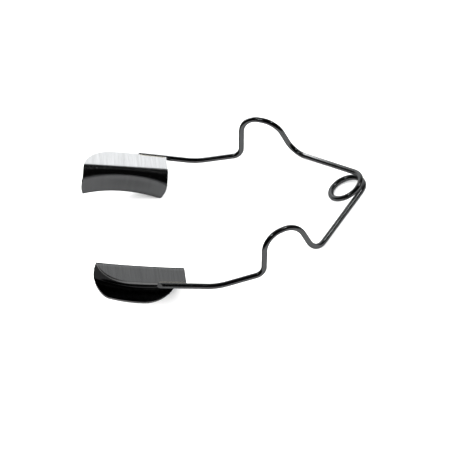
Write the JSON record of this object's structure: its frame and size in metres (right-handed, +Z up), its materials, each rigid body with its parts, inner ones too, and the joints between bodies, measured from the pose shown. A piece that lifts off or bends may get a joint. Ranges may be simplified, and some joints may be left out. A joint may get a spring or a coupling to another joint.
{
  "type": "cheek retractor",
  "caption": "Self-retaining cheek retractor: channel-shaped sheet blades on a springy wire frame with raised finger bows and a coil at the rear.",
  "frame": {"origin": "centre of the footprint at floor level, the part at rest on its two blades and its coil", "axes": "+X from the blades towards the coil, +Y towards the left arm, +Z up; the floor is the XY plane"},
  "size_m": [0.1366, 0.1009, 0.0297],
  "materials": {
    "blade_steel": "finely brushed stainless sheet, polished edges",
    "spring_wire": "polished drawn stainless wire",
    "braze_alloy": "bright silver braze, smooth"
  },
  "bodies": {
    "coil": {"coil_spring": "spring_wire"},
    "left_arm": {"left_blade": "blade_steel", "left_braze": "braze_alloy", "left_wire_end": "spring_wire", "left_blade_shank": "spring_wire", "left_finger_bow": "spring_wire", "left_low_bend": "spring_wire", "left_spring_leg": "spring_wire"},
    "right_arm": {"right_blade": "blade_steel", "right_braze": "braze_alloy", "right_wire_end": "spring_wire", "right_blade_shank": "spring_wire", "right_finger_bow": "spring_wire", "right_low_bend": "spring_wire", "right_spring_leg": "spring_wire"}
  },
  "joints": [
    {"name": "left_arm_flex", "type": "hinge", "parent": "coil", "child": "left_arm", "pos_m": [0.05839, -0.00077, 0.00376], "axis": [-0.1619, 0.0563, 0.9852], "range_deg": [-4, 14], "stiffness_Nm_per_rad": 8, "deforming": ["coil_spring"]},
    {"name": "right_arm_flex", "type": "hinge", "parent": "coil", "child": "right_arm", "pos_m": [0.05839, -0.00077, 0.00376], "axis": [-0.1619, 0.0563, 0.9852], "range_deg": [-14, 4], "stiffness_Nm_per_rad": 8, "deforming": ["coil_spring"]}
  ],
  "couplings": [
    {"joint": "right_arm_flex", "follows": "left_arm_flex", "ratio": -1}
  ]
}
